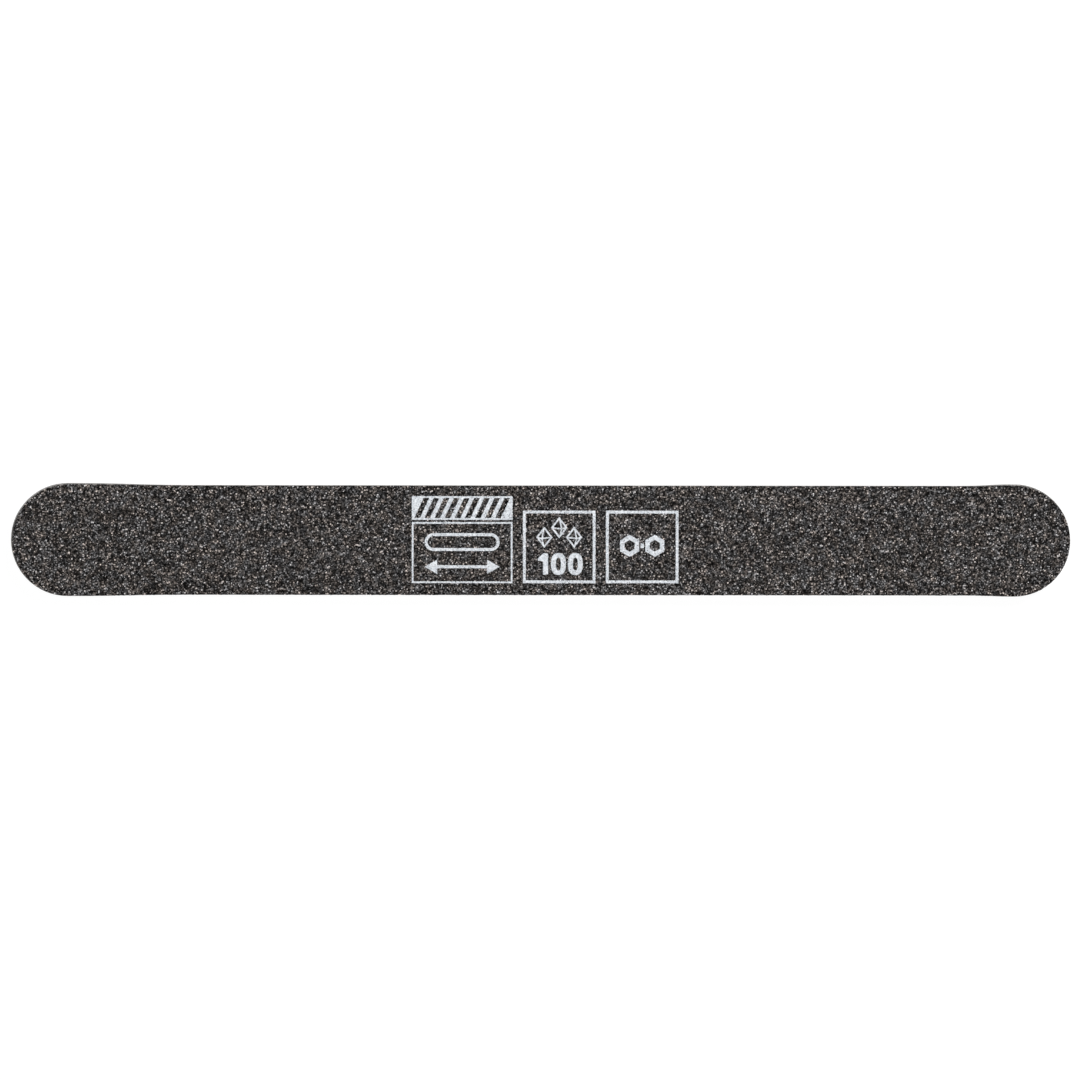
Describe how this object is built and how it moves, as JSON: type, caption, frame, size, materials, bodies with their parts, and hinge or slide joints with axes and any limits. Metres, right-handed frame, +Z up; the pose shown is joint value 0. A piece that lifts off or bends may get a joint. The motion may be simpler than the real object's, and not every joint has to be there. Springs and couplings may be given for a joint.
{
  "type": "sanding stick",
  "caption": "Flat hobby sanding stick with round ends: abrasive paper glued over foam pads on a stiff core board, with a printed grit marking.",
  "frame": {"origin": "middle of the lower abrasive face, on the plane the stick lies on", "axes": "+X along the stick, in the print's reading direction; +Y across the stick, towards the top of the print; +Z up through the laminate"},
  "size_m": [0.178, 0.019, 0.004],
  "materials": {
    "grit": "coarse black silicon carbide grain in dark resin, with small bright glints",
    "backing_paper": "waterproof backing paper, matt, seen only as a thin warm grey edge",
    "glue_film": "cured clear adhesive film, slightly glossy",
    "foam": "closed-cell foam, matt, with fine cut cells on its flank",
    "core_board": "off-white polystyrene board, die-cut edge",
    "print_ink": "white screen-printing ink lying over the grain, speckled where the grain stands through"
  },
  "bodies": {
    "root": {"grit_lower": "grit", "backing_paper_lower": "backing_paper", "outer_film_lower": "glue_film", "foam_pad_lower": "foam", "inner_film_lower": "glue_film", "core_board": "core_board", "inner_film_upper": "glue_film", "foam_pad_upper": "foam", "outer_film_upper": "glue_film", "backing_paper_upper": "backing_paper", "grit_upper": "grit", "pictogram_frame": "print_ink", "header_band": "print_ink", "stick_symbol": "print_ink", "stroke_arrow": "print_ink", "grit_box_frame": "print_ink", "grain_symbol_left": "print_ink", "grain_symbol_middle": "print_ink", "grain_symbol_right": "print_ink", "grit_digit_1": "print_ink", "grit_digit_2": "print_ink", "grit_digit_3": "print_ink", "compound_box_frame": "print_ink", "compound_ring_left": "print_ink", "compound_bond": "print_ink", "compound_ring_right": "print_ink"}
  },
  "joints": []
}
